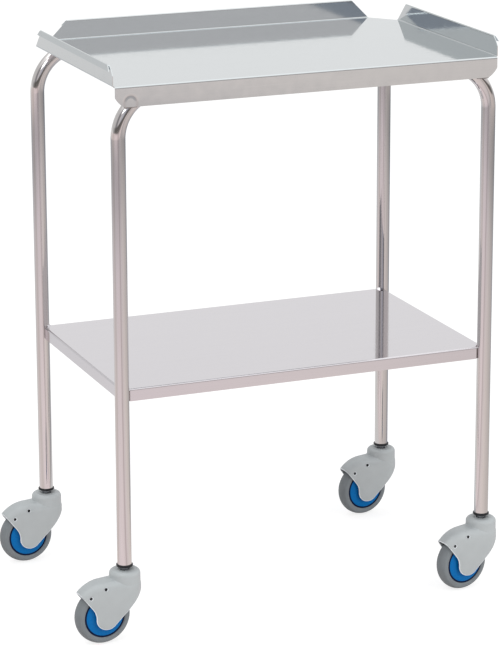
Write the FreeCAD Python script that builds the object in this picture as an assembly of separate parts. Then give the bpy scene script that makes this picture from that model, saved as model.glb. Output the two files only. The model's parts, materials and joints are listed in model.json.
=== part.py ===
import FreeCAD, Part
import math
import os

os.makedirs("parts", exist_ok=True)

V = FreeCAD.Vector
UP = V(0, 0, 1)

# Two-shelf instrument table on four hooded swivel castors. Millimetres, +Z up, floor at Z = 0.

# Fits
seat_gap = 0.05          # radial, between round pieces that are fixed together
running_gap = 0.05       # radial, between a pin and what turns on it
end_gap = 0.3            # axial, between faces that turn past each other
overcut = 1.0            # how far a cutter reaches past what it cuts

# Sheet work
sheet = 1.2
fold_radius = 1.5        # inside radius of every fold
fold_zone = 4.0          # width of floor that a fold takes up along its edge

# Top tray
tray_length = 600.0
tray_width = 390.0
tray_height = 825.0      # floor to the working surface
upstand_height = 29.0
upstand_slope = 29.0     # run of the sloping rear ends of the upstands
clip_along_side = 41.0   # clipped rear corners of the tray floor, along the side
clip_along_back = 34.5   # and along the back
apron_depth = 30.0
apron_inset = 2.4        # the apron stops short of the tray's ends
corner_cut = 14.0        # soft chamfer on the front corners of apron and upstands
corner_bulge = 0.43      # of the cut: how near the chamfer comes to the sharp corner
hem_depth = 8.0          # safe edge folded outwards along the upstands
hem_gap = 1.2
hem_lean = 14.0          # degrees, how far the open hem stands off the upstand

# Lower shelf
shelf_height = 380.0     # floor to the shelf's surface
flange_depth = 18.5
flange_gap = 1.8         # the flanges stop short of the tubes
bead = 2.5               # width of the weld beads at the tubes
bead_rise = 3.7          # height of the weld beads up the tubes

# Tube frames
tube_diameter = 21.3
tube_wall = 1.5
bend_radius = 65.0       # to the middle of the tube
leg_inset = 10.0         # tray's end to the middle of the leg

# Wheel
wheel_diameter = 85.0
tyre_width = 23.0
tyre_depth = 11.2        # tread to tyre seat
tyre_crown = 4.2         # rise of the rounded tread
rim_depth = 2.0          # dark ring seen between tyre and guard
rim_inset = 0.8          # side of the rim inside the widest part of the tyre
ledge_width = 2.0        # ledge in the rim that the guard lies on
web_thickness = 5.0
guard_thickness = 2.0
guard_dish = 0.6
guard_bore_gap = 0.2     # radial, about the wheel bearing
hub_diameter = 28.0
bearing_diameter = 22.0
bearing_width = 7.0
bearing_stop = 2.0       # width of the hub shoulder behind each bearing
axle_diameter = 8.0
axle_head_diameter = 12.0
axle_head = 1.2

# Fork
trail = 36.7             # stem to axle, along the ground
fork_plate = 2.0
fork_side_gap = 1.0      # tyre to fork cheek
fork_fold = 3.0
cheek_radius = 12.0      # rounding of the cheek about the axle
cheek_heel = 150.0       # degrees about the axle, where the rounding ends behind
crown_tail = 20.0        # stem to the crown's trailing edge
crown_nose = 14.5        # stem to the crown's leading edge
head_diameter = 37.0     # round swivel head pressed on the crown
cup_diameter = 32.8
cup_rib = 2.8            # between the two swivel bearings
swivel_bearing_diameter = 28.0
swivel_bearing_height = 8.0

# Hood
hood_wall = 2.2
hood_clearance = 11.0    # tread to the outside of the hood's crown
hood_front_radius = 23.8
hood_nose_radius = 15.0
hood_nose_reach = 81.0   # stem to the end of the beak, before the skirt is trimmed
hood_rounding = 11.0
dome_diameter = 46.0
dome_rise = 12.0          # above the hood's shoulder
dome_rounding = 6.5
tongue_reach = 17.6      # axle to the tongue's lower edge, and to its end under the front slope
tongue_heel = 15.2       # axle to the tongue's rear edge
front_slope = 46.0       # degrees, the hood's front lower edge
skirt_slope = 37.0       # degrees off upright, the beak's lower edge
skirt_radius = 26.0      # hollow curve between beak and tongue
crease_radius = 2.0      # hollow round between dome and shoulder
hole_diameter = 4.0
upper_hole_back = 0.6    # behind the axle
upper_hole_rise = 45.0   # above the axle
lower_hole_back = 23.0
lower_hole_rise = 33.5

# Stem and its fixing in the tube
journal_diameter = 12.0
neck_diameter = 13.0
neck_gap = 0.9           # radial, between neck and hood
neck_show = 4.5          # neck seen between dome and collar
collar_diameter = 24.8
collar_height = 5.4
spigot_height = 6.0
shank_diameter = 10.0
expander_length = 28.0
expander_slot = 2.0
expander_slot_depth = 17.0
stem_head = 3.0
stem_head_gap = 1.0      # radial, in the tube
stem_bevel = 1.0
stem_end = 1.0           # thread that shows below the nut
nut_width = 17.0         # across flats
nut_height = 7.0

# Castors as they stand in the photograph: place along X and Y, and turn from straight back
castors = {
    "front_left": (-1, -1, 3.6),
    "front_right": (1, -1, 10.5),
    "back_left": (-1, 1, 4.1),
    "back_right": (1, 1, 7.5),
}

# Places that follow from the sizes
tube_radius = tube_diameter / 2
leg_x = tray_length / 2 - leg_inset
leg_y = tray_width / 2 - sheet - seat_gap - tube_radius
run_height = tray_height - sheet - tube_radius
wheel_radius = wheel_diameter / 2
axle_height = wheel_radius
rim_radius = wheel_radius - tyre_depth
guard_radius = rim_radius - rim_depth
shoulder_reach = wheel_radius + hood_clearance
shoulder_height = axle_height + shoulder_reach
dome_top = shoulder_height + dome_rise
collar_low = dome_top + neck_show
tube_foot = collar_low + collar_height
cup_top = dome_top - hood_wall
crown_top = cup_top - 2 * swivel_bearing_height - cup_rib
crown_low = crown_top - fork_plate
cheek_inside = tyre_width / 2 + fork_side_gap
cheek_outside = cheek_inside + fork_plate


def flat_face(points, plane, level=0.0):
    """Closed outline in a plane across the named axis.

    A step of two numbers is a straight edge, and one of four is an arc through the first pair.
    """
    places = {"x": lambda u, v: V(level, u, v), "y": lambda u, v: V(u, level, v),
              "z": lambda u, v: V(u, v, level)}
    put = places[plane]
    edges = []
    here = points[0]
    for step in points[1:] + [points[0]]:
        there = step[-2:]
        if len(step) == 4:
            edges.append(Part.Arc(put(*here), put(*step[:2]), put(*there)).toShape())
        elif (put(*here) - put(*there)).Length > 1e-6:
            edges.append(Part.LineSegment(put(*here), put(*there)).toShape())
        here = there
    return Part.Face(Part.Wire(edges))


def prism(points, plane, low, high):
    """Outline pulled along the named axis from low to high."""
    along = {"x": V(1, 0, 0), "y": V(0, 1, 0), "z": V(0, 0, 1)}[plane]
    return flat_face(points, plane, low).extrude(along * (high - low))


def turned(points):
    """Outline of radius and height turned about the Z axis."""
    return flat_face(points, "y").revolve(V(0, 0, 0), UP, 360)


def wheel_turned(points):
    """Outline of radius and side distance turned about the wheel's axle."""
    shape = flat_face(points, "z").revolve(V(0, 0, 0), V(0, 1, 0), 360)
    return shape.translate(V(-trail, 0, axle_height))


def cylinder(radius, low, high, at=(0.0, 0.0)):
    return Part.makeCylinder(radius, high - low, V(at[0], at[1], low))


def strip_face(path):
    """Section of folded sheet. The path is its middle line: x, y and middle radius at each corner."""
    corners = [(V(x, y, 0), r) for x, y, r in path]
    half = sheet / 2
    sides = {1: [], -1: []}
    start, _ = corners[0]
    for (before, _), (corner, fold), (after, _) in zip(corners, corners[1:], corners[2:]):
        into = (corner - before).normalize()
        out = (after - corner).normalize()
        bend = into.getAngle(out)
        hand = 1 if into.cross(out).z > 0 else -1
        first = corner - into * (fold * math.tan(bend / 2))
        last = corner + out * (fold * math.tan(bend / 2))
        centre = first + UP.cross(into) * (hand * fold)
        outward = (corner - centre).normalize()
        for side, edges in sides.items():
            a, b = first + UP.cross(into) * (side * half), last + UP.cross(out) * (side * half)
            if (first - start).Length > 1e-6:
                edges.append(Part.LineSegment(start + UP.cross(into) * (side * half), a).toShape())
            middle = centre + outward * (fold - side * hand * half)
            edges.append(Part.Arc(a, middle, b).toShape())
        start = last
    end = corners[-1][0]
    out = (end - start).normalize()
    for side, edges in sides.items():
        offset = UP.cross(out) * (side * half)
        edges.append(Part.LineSegment(start + offset, end + offset).toShape())
    caps = []
    for index in (0, -1):
        a = sides[1][index].Vertexes[index].Point
        b = sides[-1][index].Vertexes[index].Point
        caps.append(Part.LineSegment(a, b).toShape())
    edges = Part.__sortEdges__(sides[1] + sides[-1] + caps)
    return Part.Face(Part.Wire(edges))


def folded_edge(path, length, outward, at):
    """Folded strip along an edge: the path's x runs outwards from the place, and its y runs up."""
    bar = strip_face(path).extrude(UP * length).translate(UP * (-length / 2))
    turn = FreeCAD.Rotation(outward, UP, outward.cross(UP), "XYZ")
    bar.Placement = FreeCAD.Placement(at, turn).multiply(bar.Placement)
    return bar


def joined(shapes):
    """Pieces that are one sheet, casting or moulding."""
    whole = shapes[0].fuse(shapes[1:]).removeSplitter()
    return whole.Solids[0] if len(whole.Solids) == 1 else whole


def corner_blank(size, plane, low, high, at, u_sign, v_sign):
    """What the soft chamfer takes off a sheet's corner; the signs point into the sheet."""
    bulge = size * corner_bulge
    out = -overcut
    steps = [(out, out), (size, out), (size, 0), (bulge, bulge, 0, size), (out, size)]
    points = []
    for step in steps:
        pairs = zip(step[::2], step[1::2])
        points.append(tuple(n for u, v in pairs for n in (at[0] + u_sign * u, at[1] + v_sign * v)))
    return prism(points, plane, low, high)


def slope_blank(base, tip, plane, low, high):
    """What the sloping end takes off an upstand, from its base to its top."""
    rise = upstand_height + overcut
    over = math.copysign(1, base - tip)
    run = (tip - base) / upstand_height * rise
    foot = base + over * fold_zone
    points = [(base, tray_height), (base + run, tray_height + rise),
              (foot, tray_height + rise), (foot, tray_height)]
    return prism(points, plane, low, high)


def top_tray():
    half_x, half_y = tray_length / 2, tray_width / 2
    fold = fold_radius + sheet / 2
    pitch = sheet + hem_gap
    flare = hem_depth * math.tan(math.radians(hem_lean))
    upstand = [(-fold_zone, -sheet / 2, 0), (-sheet / 2, -sheet / 2, fold),
               (-sheet / 2, upstand_height - sheet / 2, pitch / 2),
               (pitch - sheet / 2, upstand_height - sheet / 2, pitch / 2),
               (pitch - sheet / 2 + flare, upstand_height - hem_depth, 0)]
    apron = [(-fold_zone, -sheet / 2, 0), (-sheet / 2, -sheet / 2, fold),
             (-sheet / 2, -apron_depth, 0)]
    in_x, in_y = half_x - fold_zone, half_y - fold_zone
    side_front, side_back = -half_y + fold_zone, half_y - clip_along_side
    side_length, side_middle = side_back - side_front, (side_back + side_front) / 2
    back_x = half_x - clip_along_back
    back_length, apron_length = 2 * back_x, tray_length - 2 * apron_inset
    floor = prism([(-in_x, -in_y), (in_x, -in_y), (in_x, side_back), (back_x, in_y),
                   (-back_x, in_y), (-in_x, side_back)], "z", tray_height - sheet, tray_height)
    sheets = [floor, folded_edge(apron, apron_length, V(0, -1, 0), V(0, -half_y, tray_height)),
              folded_edge(upstand, back_length, V(0, 1, 0), V(0, half_y, tray_height))]
    cuts = []
    for side in (-1, 1):
        sheets.append(folded_edge(upstand, side_length, V(side, 0, 0),
                                  V(side * half_x, side_middle, tray_height)))
        inner, outer = sorted((side * (half_x - fold_zone), side * (half_x + 2 * pitch + flare)))
        cuts.append(slope_blank(side_back, side_back - upstand_slope, "x", inner, outer))
        cuts.append(corner_blank(corner_cut, "x", inner, outer,
                                 (side_front, tray_height + upstand_height), 1, -1))
        cuts.append(slope_blank(side * back_x, side * (back_x - upstand_slope),
                                "y", half_y - fold_zone, half_y + 2 * pitch + flare))
        cuts.append(corner_blank(corner_cut, "y", -half_y - overcut, -half_y + sheet + overcut,
                                 (side * apron_length / 2, tray_height - apron_depth), -side, 1))
    return joined(sheets).cut(cuts)


def leg_places():
    return [(sx * leg_x, sy * leg_y) for sx, sy, _ in castors.values()]


def lower_shelf():
    fold = fold_radius + sheet / 2
    flange = [(-fold_zone, -sheet / 2, 0), (-sheet / 2, -sheet / 2, fold), (-sheet / 2, -flange_depth, 0)]
    in_x, in_y = leg_x - fold_zone, leg_y - fold_zone
    floor = prism([(-in_x, -in_y), (in_x, -in_y), (in_x, in_y), (-in_x, in_y)],
                  "z", shelf_height - sheet, shelf_height)
    sheets = [floor]
    stop = tube_radius + flange_gap
    long_side, short_side = 2 * (leg_x - stop), 2 * (leg_y - stop)
    for side in (-1, 1):
        sheets.append(folded_edge(flange, long_side, V(0, side, 0), V(0, side * leg_y, shelf_height)))
        sheets.append(folded_edge(flange, short_side, V(side, 0, 0), V(side * leg_x, 0, shelf_height)))
    pan = joined(sheets)
    inside = Part.makeBox(2 * in_x, 2 * in_y, bead_rise, V(-in_x, -in_y, shelf_height))
    radius = tube_radius + seat_gap
    beads = []
    for at in leg_places():
        weld = turned([(radius - bead / 2, shelf_height), (radius + bead, shelf_height),
                       (radius - bead / 2, shelf_height + bead_rise)])
        beads.append(weld.translate(V(at[0], at[1], 0)).common(inside))
    pan = joined([pan] + beads)
    return pan.cut([cylinder(radius, 0, tray_height, at) for at in leg_places()])


def frame_tube(y):
    """One bent tube: leg, bend, top run, bend, leg. Its bore is the same sweep, thinner."""
    bend_x, bend_z = leg_x - bend_radius, run_height - bend_radius
    diagonal = bend_radius * math.sqrt(0.5)
    path = [Part.LineSegment(V(-leg_x, y, tube_foot), V(-leg_x, y, bend_z)),
            Part.Arc(V(-leg_x, y, bend_z), V(-bend_x - diagonal, y, bend_z + diagonal),
                     V(-bend_x, y, run_height)),
            Part.LineSegment(V(-bend_x, y, run_height), V(bend_x, y, run_height)),
            Part.Arc(V(bend_x, y, run_height), V(bend_x + diagonal, y, bend_z + diagonal),
                     V(leg_x, y, bend_z)),
            Part.LineSegment(V(leg_x, y, bend_z), V(leg_x, y, tube_foot))]
    spine = Part.Wire([piece.toShape() for piece in path])
    solids = []
    for radius in (tube_radius, tube_radius - tube_wall):
        ring = Part.Wire(Part.makeCircle(radius, V(-leg_x, y, tube_foot), UP))
        solids.append(spine.makePipeShell([ring], True, False))
    return solids[0].cut(solids[1])


def collar():
    bore, spigot = shank_diameter / 2 + seat_gap, tube_radius - tube_wall - seat_gap
    edge = collar_diameter / 2
    soft = collar_height / 4
    top = tube_foot + spigot_height
    return turned([(bore, collar_low), (edge - soft, collar_low), (edge, collar_low + soft),
                   (edge, tube_foot - soft), (edge - soft, tube_foot), (spigot, tube_foot),
                   (spigot, top), (bore, top)])


def expander():
    """Rubber sleeve, slit crosswise from its lower end so that it spreads in the tube."""
    low = tube_foot + spigot_height
    bore, grip = shank_diameter / 2 + seat_gap, tube_radius - tube_wall - seat_gap
    sleeve = turned([(bore, low), (grip, low), (grip, low + expander_length), (bore, low + expander_length)])
    slots = []
    for size_x, size_y in ((2 * grip, expander_slot), (expander_slot, 2 * grip)):
        slots.append(Part.makeBox(size_x, size_y, expander_slot_depth, V(-size_x / 2, -size_y / 2, low)))
    return sleeve.cut(slots)


def stem():
    journal, neck, shank = journal_diameter / 2, neck_diameter / 2, shank_diameter / 2
    low = crown_low - end_gap - nut_height - stem_end
    neck_low = cup_top + end_gap
    top = tube_foot + spigot_height + expander_length
    head = tube_radius - tube_wall - stem_head_gap
    return turned([(0, low), (journal - stem_bevel, low), (journal, low + stem_bevel), (journal, neck_low),
                   (neck, neck_low), (neck, collar_low), (shank, collar_low), (shank, top), (head, top),
                   (head, top + stem_head), (0, top + stem_head)])


def stem_nut():
    top = crown_low - end_gap
    corner = nut_width / 2 / math.cos(math.radians(30))
    points = [(corner * math.cos(math.radians(a)), corner * math.sin(math.radians(a)))
              for a in range(0, 360, 60)]
    blank = prism(points, "z", top - nut_height, top)
    return blank.cut(cylinder(journal_diameter / 2 + seat_gap, top - nut_height, top))


def fork():
    """Pressed U of plate, trimmed to the cheek's outline, with a round head and a bearing cup."""
    middle = (cheek_inside + cheek_outside) / 2
    low = axle_height - cheek_radius - overcut
    corner = crown_low + fork_plate / 2
    half = fork_plate / 2
    fold = fork_fold
    outer, inner = middle + half, middle - half
    diagonal = math.sqrt(0.5)
    section = [(-outer, low), (-outer, crown_top - fold),
               (-outer + fold * (1 - diagonal), crown_top - fold * (1 - diagonal), -outer + fold, crown_top),
               (outer - fold, crown_top),
               (outer - fold * (1 - diagonal), crown_top - fold * (1 - diagonal), outer, crown_top - fold),
               (outer, low), (inner, low), (inner, corner - half), (-inner, corner - half), (-inner, low)]
    slope = math.radians(front_slope)
    toe_x = cheek_radius * math.sin(slope) - trail
    toe_z = axle_height - cheek_radius * math.cos(slope)
    knee_z = toe_z + (crown_nose - toe_x) * math.tan(slope)
    heel = math.radians(cheek_heel)
    heel_x, heel_z = cheek_radius * math.cos(heel) - trail, axle_height + cheek_radius * math.sin(heel)
    under = (heel + slope + math.pi * 1.5) / 2
    under_x, under_z = cheek_radius * math.cos(under) - trail, axle_height + cheek_radius * math.sin(under)
    above, wide = crown_top + overcut, outer + overcut
    outline = [(-crown_tail, above), (crown_nose, above), (crown_nose, knee_z), (toe_x, toe_z),
               (under_x, under_z, heel_x, heel_z), (-crown_tail, crown_top)]
    channel = prism(section, "x", -trail - cheek_radius - overcut, crown_nose + overcut)
    cheeks = channel.common(prism(outline, "y", -wide, wide))
    seat = swivel_bearing_diameter / 2 + seat_gap
    head = cylinder(head_diameter / 2, crown_low, crown_top)
    cup = cylinder(cup_diameter / 2, crown_top, cup_top)
    rib_low = crown_top + swivel_bearing_height
    bores = [cylinder(seat, crown_top, rib_low), cylinder(seat, rib_low + cup_rib, cup_top),
             cylinder(seat - fork_plate, rib_low, rib_low + cup_rib),
             cylinder(journal_diameter / 2 + 2 * end_gap, crown_low, crown_top),
             Part.makeCylinder(axle_diameter / 2 + seat_gap, 2 * wide,
                               V(-trail, -wide, axle_height), V(0, 1, 0))]
    return joined([cheeks, head, cup]).cut(bores)


def hood_plan(inset):
    """Seen from above: a round front about the stem that narrows to the beak's nose."""
    front, nose = hood_front_radius - inset, hood_nose_radius - inset
    nose_x = hood_nose_radius - hood_nose_reach
    lean = math.asin((front - nose) / -nose_x)
    s, c = math.sin(lean), math.cos(lean)
    return [(-front * s, -front * c), (front, 0, -front * s, front * c),
            (nose_x - nose * s, nose * c), (nose_x - nose, 0, nose_x - nose * s, -nose * c)]


def hood_blank(inset):
    """The hood's body with rounded top edges; inset by the wall, it is the hood's hollow."""
    reach = shoulder_reach - inset
    low = axle_height - tongue_reach - 2 * overcut
    turn = math.radians(135)
    span = hood_front_radius + overcut
    side = [(-trail - reach, axle_height),
            (-trail + reach * math.cos(turn), axle_height + reach * math.sin(turn),
             -trail, axle_height + reach),
            (span, axle_height + reach), (span, low), (-trail - reach, low)]
    above = axle_height + reach + overcut
    body = prism(hood_plan(inset), "z", low, above).common(prism(side, "y", -span, span))
    edges = []
    for edge in body.Edges:
        box = edge.BoundBox
        if box.ZMin > low + overcut and box.XLength > overcut / 100:
            edges.append(edge)
    rounded = body.makeFillet(hood_rounding - inset, edges)
    dome = dome_diameter / 2 - inset
    soft = dome_rounding - inset
    top = dome_top - inset
    knee = soft * (1 - math.sqrt(0.5))
    cap = turned([(0, axle_height + reach - hood_rounding), (dome, axle_height + reach - hood_rounding),
                  (dome, top - soft), (dome - knee, top - knee, dome - soft, top), (0, top)])
    return rounded.fuse(cap).removeSplitter()


def crease_edges(blank):
    """The seam between the dome's wall and the shoulder."""
    found = []
    for edge in blank.Edges:
        points = edge.discretize(9)
        off = max(abs(math.hypot(point.x, point.y) - dome_diameter / 2) for point in points)
        if off < seat_gap and max(point.z for point in points) < shoulder_height + seat_gap:
            found.append(edge)
    return found


def hood_skirt():
    """Side view that trims the hood's lower edge: beak, hollow curve, tongue and front slope."""
    slope, lean = math.radians(front_slope), math.radians(skirt_slope)
    far = 2 * hood_nose_reach
    heel = -trail - tongue_heel
    toe_x = tongue_reach * math.sin(slope) - trail
    toe_z = axle_height - tongue_reach * math.cos(slope)
    curve_x = heel - skirt_radius
    beak_x, beak_z = curve_x + skirt_radius * math.cos(lean), axle_height + skirt_radius * math.sin(lean)
    mid_x = curve_x + skirt_radius * math.cos(lean / 2)
    mid_z = axle_height + skirt_radius * math.sin(lean / 2)
    points = [(heel, axle_height),
              (-trail, axle_height - tongue_reach, toe_x, toe_z),
              (toe_x + far * math.cos(slope), toe_z + far * math.sin(slope)),
              (beak_x - far * math.sin(lean), toe_z + far * math.sin(slope)),
              (beak_x - far * math.sin(lean), beak_z + far * math.cos(lean)),
              (beak_x, beak_z), (mid_x, mid_z, heel, axle_height)]
    span = hood_front_radius + overcut
    return prism(points, "y", -span, span)


def hood():
    """Moulded shell: outer form less the same form inset by the wall, trimmed along the skirt."""
    outside = hood_blank(0)
    outside = outside.makeFillet(crease_radius, crease_edges(outside))
    shell = outside.cut(hood_blank(hood_wall)).common(hood_skirt())
    holes = [cylinder(neck_diameter / 2 + neck_gap, cup_top - overcut, dome_top + overcut)]
    span = hood_front_radius + overcut
    for back, rise in ((upper_hole_back, upper_hole_rise), (lower_hole_back, lower_hole_rise)):
        at = V(-trail - back, -span, axle_height + rise)
        holes.append(Part.makeCylinder(hole_diameter / 2, 2 * span, at, V(0, 1, 0)))
    return shell.cut(holes)


def swivel_bearings():
    bore, rim = journal_diameter / 2 + running_gap, swivel_bearing_diameter / 2
    rings = []
    for low in (crown_top, crown_top + swivel_bearing_height + cup_rib):
        top = low + swivel_bearing_height
        rings.append(turned([(bore, low), (rim, low), (rim, top), (bore, top)]))
    return Part.makeCompound(rings)


def axle():
    pin = axle_diameter / 2
    head = axle_head_diameter / 2
    seat, end = cheek_outside, cheek_outside + axle_head
    return wheel_turned([(0, -end), (head, -end), (head, -seat), (pin, -seat), (pin, seat), (head, seat),
                         (head, end), (0, end)])


def wheel_core():
    """Dark moulding: rim, ledge under the guards, web and hub, with a bearing seat each side."""
    rim_side = tyre_width / 2 - rim_inset
    ledge = rim_side - guard_thickness
    web = web_thickness / 2
    hub = hub_diameter / 2
    seat = bearing_diameter / 2 + seat_gap
    hub_side = ledge + seat_gap
    stop = cheek_inside - end_gap - bearing_width
    shoulder = bearing_diameter / 2 - bearing_stop
    half = [(shoulder, stop), (seat, stop), (seat, hub_side), (hub, hub_side), (hub, web),
            (guard_radius - ledge_width, web), (guard_radius - ledge_width, ledge), (guard_radius, ledge),
            (guard_radius, rim_side), (rim_radius, rim_side)]
    return wheel_turned(half + [(r, -y) for r, y in reversed(half)])


def thread_guards():
    """Blue discs let into both sides of the rim, slightly dished towards the hub."""
    inner, outer = bearing_diameter / 2 + guard_bore_gap, guard_radius - seat_gap
    low = tyre_width / 2 - rim_inset - guard_thickness + seat_gap
    top = low + guard_thickness - 2 * seat_gap
    edge = guard_thickness / 4
    disc = [(inner, low), (outer, low), (outer, top - edge), (outer - edge, top),
            (hub_diameter / 2, top + guard_dish), (inner, top + guard_dish)]
    discs = [wheel_turned(disc), wheel_turned([(r, -y) for r, y in disc])]
    return Part.makeCompound(discs)


def wheel_bearings():
    bore, rim = axle_diameter / 2 + running_gap, bearing_diameter / 2
    far = cheek_inside - end_gap
    near = far - bearing_width
    rings = []
    for side in (-1, 1):
        rings.append(wheel_turned([(bore, side * near), (rim, side * near), (rim, side * far),
                                   (bore, side * far)]))
    return Part.makeCompound(rings)


def tyre():
    seat = rim_radius + seat_gap
    foot, bulge = tyre_width / 2 - rim_inset, tyre_width / 2
    shoulder = wheel_radius - tyre_crown
    cheek = rim_radius + tyre_depth / 4
    return wheel_turned([(seat, -foot), (cheek, -bulge), (shoulder, -foot), (wheel_radius, 0, shoulder, foot),
                         (cheek, bulge), (seat, foot)])


castor_pieces = {
    "collar": collar, "expander": expander, "stem": stem, "stem_nut": stem_nut, "fork": fork,
    "hood": hood, "swivel_bearings": swivel_bearings, "axle": axle, "wheel_core": wheel_core,
    "tyre": tyre, "thread_guards": thread_guards, "wheel_bearings": wheel_bearings,
}


def build():
    """Every node by name. The origin is on the floor, below the middle of the whole table."""
    nodes = {"top_tray": top_tray(), "lower_shelf": lower_shelf(),
             "front_frame_tube": frame_tube(-leg_y), "rear_frame_tube": frame_tube(leg_y)}
    for piece, make in castor_pieces.items():
        model = make()
        for corner, (sx, sy, turn) in castors.items():
            spin = FreeCAD.Placement(V(sx * leg_x, sy * leg_y, 0), FreeCAD.Rotation(UP, turn))
            copy = model.copy()
            copy.Placement = spin.multiply(copy.Placement)
            nodes[corner + "_" + piece] = copy
    reach = Part.makeCompound(list(nodes.values())).optimalBoundingBox()
    centre = V(reach.Center.x, reach.Center.y, 0)
    for shape in nodes.values():
        shape.translate(-centre)
    return nodes, centre


nodes, centre = build()
for name, shape in nodes.items():
    shape.exportStep("parts/" + name + ".step")
print(len(nodes), "nodes; table centre moved by", centre)
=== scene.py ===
# %% [markdown]
# # Two-shelf instrument table
# A small ward table: two sheets of stainless steel on two bent tubes, on four hooded castors.
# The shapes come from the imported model, which is loaded first and is never moved. This file gives
# each piece its finish, adds the small forms that only show close up, and sets up the studio.

# %% Load the frame
import json
import math

import bmesh
import bpy
from mathutils import Matrix, Vector


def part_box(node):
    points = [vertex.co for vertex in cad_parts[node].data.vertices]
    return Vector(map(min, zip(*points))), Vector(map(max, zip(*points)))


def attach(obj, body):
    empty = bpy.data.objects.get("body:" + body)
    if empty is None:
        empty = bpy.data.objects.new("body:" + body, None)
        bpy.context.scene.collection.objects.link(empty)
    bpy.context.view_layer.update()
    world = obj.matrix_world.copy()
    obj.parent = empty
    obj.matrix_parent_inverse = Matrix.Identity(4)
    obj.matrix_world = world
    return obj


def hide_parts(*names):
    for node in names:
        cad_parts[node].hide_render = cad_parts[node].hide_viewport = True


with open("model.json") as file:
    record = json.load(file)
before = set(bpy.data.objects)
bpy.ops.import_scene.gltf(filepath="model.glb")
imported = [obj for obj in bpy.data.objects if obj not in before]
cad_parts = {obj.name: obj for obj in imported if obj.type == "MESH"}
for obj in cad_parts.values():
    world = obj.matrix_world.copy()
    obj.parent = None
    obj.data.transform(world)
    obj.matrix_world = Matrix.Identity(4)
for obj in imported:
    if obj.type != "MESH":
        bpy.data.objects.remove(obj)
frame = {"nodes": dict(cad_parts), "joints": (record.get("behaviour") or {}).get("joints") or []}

nodes = frame["nodes"]
joints = {joint["name"]: joint for joint in frame["joints"]}
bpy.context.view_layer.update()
corners = ["front_left", "front_right", "back_left", "back_right"]
mm = 0.001

# %% [markdown]
# ## Camera
# The table is seen from its front left, a little above the tray, with a long lens: the legs
# stay almost parallel. A long lens from four metres away gives that look, where a short lens
# from close by would splay the legs. The frame is upright, so the lens is measured against the
# long side of the sensor.

# %% Camera
legs = [Vector(joints[corner + "_swivel"]["pos_m"]) for corner in corners]
middle = sum(legs, Vector()) / len(legs)
middle.z = 0.0
camera_place = middle + Vector((-1.5707, -3.8305, 1.5786))
camera_turn = -22.084
camera_tilt = 14.563
camera_roll = -0.191
lens = 157.02
sensor_side = 36.0       # of the sensor's long side, in millimetres
frame_drop = 0.1         # of the frame's height, by which the frame sits below the lens axis


def look_direction(turn, tilt):
    """Where a camera looks: turn is the side it stands on, tilt how far it looks down, in degrees."""
    a, e = math.radians(turn), math.radians(tilt)
    return Vector((-math.sin(a) * math.cos(e), math.cos(a) * math.cos(e), -math.sin(e)))


camera_data = bpy.data.cameras.new("camera")
camera_data.lens = lens
camera_data.sensor_width = sensor_side
camera_data.shift_y = -frame_drop
camera = bpy.data.objects.new("camera", camera_data)
bpy.context.scene.collection.objects.link(camera)
aim = look_direction(camera_turn, camera_tilt).to_track_quat("-Z", "Y").to_matrix()
roll = Matrix.Rotation(math.radians(camera_roll), 3, "Z")
camera.matrix_world = Matrix.Translation(camera_place) @ (aim @ roll).to_4x4()
bpy.context.scene.camera = camera
print("camera at", [round(v, 3) for v in camera_place], "lens", lens)

# %% [markdown]
# ## Helpers for materials
# Colours are picked as hex codes, as in a paint program, and a renderer works with linear light,
# so one function turns the first into the second. Another one adds a shader node with its
# settings and its links in one line, and gives back the output that the next node needs.

# %% Material helpers
mix_a, mix_b, mixed = 6, 7, 2                    # colour sockets of a Mix node
noise_span = {"From Min": 0.3, "From Max": 0.7}  # the values that a noise mostly takes


def linear(code, gain=1.0):
    """A hex colour as linear red, green, blue and alpha, made lighter or darker by gain."""
    parts = [int(code[i:i + 2], 16) / 255 for i in (0, 2, 4)]
    return [gain * (c / 12.92 if c <= 0.04045 else ((c + 0.055) / 1.055) ** 2.4) for c in parts] + [1.0]


def add(tree, kind, inputs=None, output=0, **settings):
    """Adds a shader node and gives back an output. Each input is a value, or the output that feeds it."""
    made = tree.nodes.new(kind)
    for name, value in settings.items():
        setattr(made, name, value)
    for name, value in (inputs or {}).items():
        if isinstance(value, bpy.types.NodeSocket):
            tree.links.new(value, made.inputs[name])
        else:
            made.inputs[name].default_value = value
    return made.outputs[output] if len(made.outputs) else made


def new_material(name, coordinates="Object"):
    """An empty material, its tree and the coordinates that its patterns follow."""
    material = bpy.data.materials.new(name)
    material.use_nodes = True
    tree = material.node_tree
    tree.nodes.clear()
    return material, tree, add(tree, "ShaderNodeTexCoord", output=coordinates)


print("linear mid grey:", [round(v, 3) for v in linear("808080")])

# %% [markdown]
# ## The mark of a weld
# Where a front leg is welded on behind the tray's apron, the heat has drawn the thin sheet in and
# tinted it, and an arch shows in front. It is a tenth of a millimetre deep, too shallow to model,
# so it is a relief worked out from the distance to the weld: it rises towards a ring and falls
# away outside it. Below the weld the distance counts sideways only, which leaves the arch open.

# %% Weld's mark
apron_weld_inset = 15.4 * mm                     # from a front leg's middle to its weld on the apron
pucker_rise = 7 * mm                             # from the apron's lower edge to the mark's middle
pucker_radius = 9.5 * mm
pucker_inner, pucker_outer = 0.6, 1.35           # where the mark begins and ends, times its radius
pucker_depth = 0.09 * mm
pucker_tint = "C4C5C6"


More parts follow.
